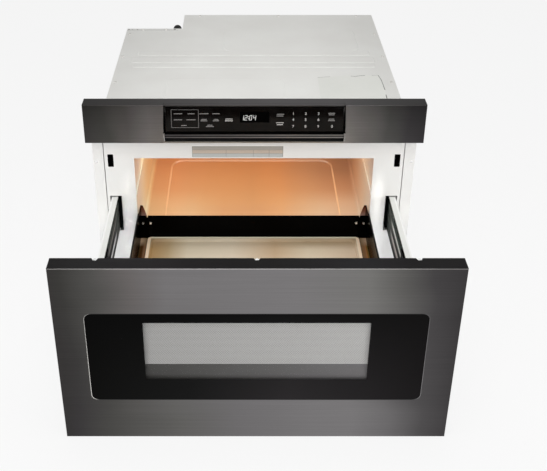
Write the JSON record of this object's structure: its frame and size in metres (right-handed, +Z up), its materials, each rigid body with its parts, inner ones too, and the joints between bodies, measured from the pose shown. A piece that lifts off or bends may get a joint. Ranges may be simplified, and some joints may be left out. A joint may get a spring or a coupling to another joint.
{
  "type": "microwave drawer",
  "caption": "Built-in microwave oven whose cooking basket runs out on telescopic slides behind a flat dark-steel front with a window, under a fascia with touch controls.",
  "frame": {"origin": "middle of the chassis, where its underside meets the plane of the front plate, which is the plane of the kitchen cabinet's face", "axes": "+X right and +Y into the cabinet, both as seen from the front, +Z up"},
  "size_m": [0.6064, 0.98, 0.4045],
  "materials": {
    "white_paint": "smooth satin enamel on steel sheet",
    "coated_steel": "matt pre-coated grey steel sheet",
    "cavity_enamel": "warm satin enamel",
    "black_stainless": "dark stainless, brushed sideways",
    "black_glass": "gloss, printed black on the back",
    "control_black": "gloss black with printed keys",
    "screen_paint": "perforated sheet, light grey",
    "clear_pane": "clear pane",
    "frame_paint": "satin grey-white paint",
    "basket_paint": "gloss black paint",
    "tray_ceramic": "beige glass-ceramic, satin",
    "zinc": "zinc-plated steel",
    "arm_zinc": "pale galvanised steel",
    "screw_steel": "bright plated",
    "black_plastic": "moulded, fine grain",
    "white_plastic": "moulded nylon",
    "grey_plastic": "moulded",
    "mica": "smooth moulded sheet",
    "motor_steel": "zinc-plated can",
    "core_steel": "varnished laminations and windings",
    "aluminium": "bare",
    "board": "circuit board with its parts"
  },
  "bodies": {
    "chassis": {"base_plate": "coated_steel", "side_panel_left": "white_paint", "side_panel_right": "white_paint", "rear_panel": "coated_steel", "top_cover": "coated_steel", "cover_screws": "coated_steel", "front_plate": "white_paint", "cavity": "cavity_enamel", "oven_lamp": "motor_steel", "stirrer_cover": "mica", "waveguide": "coated_steel", "stirrer_motor": "motor_steel", "magnetron": "aluminium", "fan_housing": "grey_plastic", "fan_motor": "motor_steel", "transformer": "core_steel", "capacitor": "aluminium", "noise_filter": "board", "cord_gland": "black_plastic", "interlock_switches": "black_plastic", "latch_housing_left": "black_plastic", "latch_housing_right": "black_plastic", "slide_brackets": "coated_steel", "slide_rail_left": "zinc", "slide_rail_right": "zinc", "motor_bracket": "coated_steel", "drive_motor": "motor_steel", "fascia_skin": "black_stainless", "fascia_back": "coated_steel", "control_trim": "black_stainless", "control_bezel": "black_plastic", "control_glass": "control_black", "control_board": "board"},
    "drawer": {"door_skin": "black_stainless", "door_glass": "black_glass", "window_screen": "screen_paint", "inner_window": "clear_pane", "door_frame": "frame_paint", "choke_cover": "black_plastic", "tray_frame": "basket_paint", "tray": "tray_ceramic", "basket_side_left": "basket_paint", "basket_side_right": "basket_paint", "basket_rear": "basket_paint", "basket_screws": "screw_steel", "drawer_arm_left": "arm_zinc", "drawer_arm_right": "arm_zinc", "slide_runner_left": "zinc", "slide_runner_right": "zinc", "drive_rack": "white_plastic"},
    "middle_slides": {"slide_middle_left": "zinc", "slide_middle_right": "zinc"},
    "outer_cages": {"outer_ball_cages": "zinc"},
    "inner_cages": {"inner_ball_cages": "zinc"},
    "pinion": {"drive_pinion": "white_plastic"},
    "fan": {"fan_blade": "grey_plastic"},
    "stirrer": {"stirrer": "aluminium"},
    "latch_left": {"latch_head_left": "black_plastic"},
    "latch_right": {"latch_head_right": "black_plastic"}
  },
  "joints": [
    {"name": "drawer_slide", "type": "slide", "parent": "chassis", "child": "drawer", "axis": [0, 1, 0], "range_m": [0, 0.389]},
    {"name": "middle_slide", "type": "slide", "parent": "chassis", "child": "middle_slides", "axis": [0, 1, 0], "range_m": [0, 0.1945]},
    {"name": "outer_cage_slide", "type": "slide", "parent": "chassis", "child": "outer_cages", "axis": [0, 1, 0], "range_m": [0, 0.09725]},
    {"name": "inner_cage_slide", "type": "slide", "parent": "chassis", "child": "inner_cages", "axis": [0, 1, 0], "range_m": [0, 0.29175]},
    {"name": "pinion_spin", "type": "hinge", "parent": "chassis", "child": "pinion", "pos_m": [0, 0.022, 0.0345], "axis": [1, 0, 0], "range_deg": [-1858, 0]},
    {"name": "fan_spin", "type": "hinge", "parent": "chassis", "child": "fan", "pos_m": [0, 0.5539, 0.288], "axis": [0, 1, 0], "continuous": true},
    {"name": "stirrer_spin", "type": "hinge", "parent": "chassis", "child": "stirrer", "pos_m": [0, 0.25, 0.29], "axis": [0, 0, 1], "continuous": true},
    {"name": "latch_pivot_left", "type": "hinge", "parent": "drawer", "child": "latch_left", "pos_m": [-0.26435, -0.3976, 0.26705], "axis": [1, 0, 0], "range_deg": [-6, 0], "stiffness_Nm_per_rad": 0.5, "springref_deg": 5.73},
    {"name": "latch_pivot_right", "type": "hinge", "parent": "drawer", "child": "latch_right", "pos_m": [0.26435, -0.3976, 0.26705], "axis": [1, 0, 0], "range_deg": [-6, 0], "stiffness_Nm_per_rad": 0.5, "springref_deg": 5.73}
  ],
  "couplings": [
    {"joint": "middle_slide", "follows": "drawer_slide", "ratio": 0.5},
    {"joint": "outer_cage_slide", "follows": "drawer_slide", "ratio": 0.25},
    {"joint": "inner_cage_slide", "follows": "drawer_slide", "ratio": 0.75},
    {"joint": "pinion_spin", "follows": "drawer_slide", "rad_per_m": -83.333}
  ]
}
